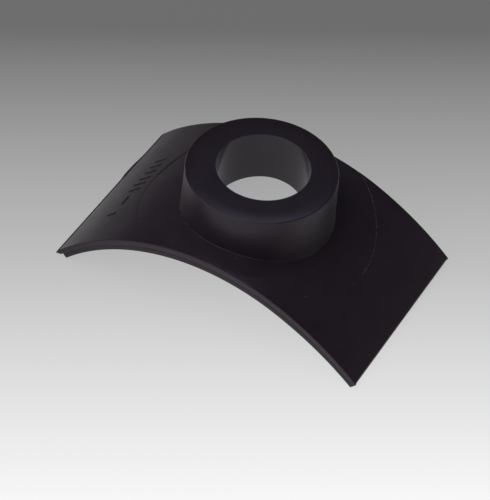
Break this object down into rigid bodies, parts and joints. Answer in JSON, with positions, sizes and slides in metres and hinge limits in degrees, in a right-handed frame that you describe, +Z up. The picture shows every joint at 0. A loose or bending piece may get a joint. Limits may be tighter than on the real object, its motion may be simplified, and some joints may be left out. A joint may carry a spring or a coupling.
{
  "type": "rubber pipe saddle",
  "caption": "Black rubber saddle fitting: a curved plate that seals round a pipe, with a raised round boss on its crown and a bore straight through both.",
  "frame": {"origin": "on the boss axis, level with the two long edges that the plate rests on", "axes": "+Z up along the boss axis, +Y along the pipe the saddle sits on, +X across it, round the pipe"},
  "size_m": [0.0526, 0.0318, 0.0192],
  "materials": {
    "cover_rubber": "black moulded rubber, fine satin grain",
    "liner_rubber": "black moulded rubber, matt sealing face",
    "collar_rubber": "black moulded rubber, satin",
    "woven_fabric": "coarse woven reinforcement, enclosed in rubber"
  },
  "bodies": {
    "root": {"outer_cover": "cover_rubber", "inner_liner": "liner_rubber", "boss_collar": "collar_rubber", "reinforcement_disc": "woven_fabric"}
  },
  "joints": []
}
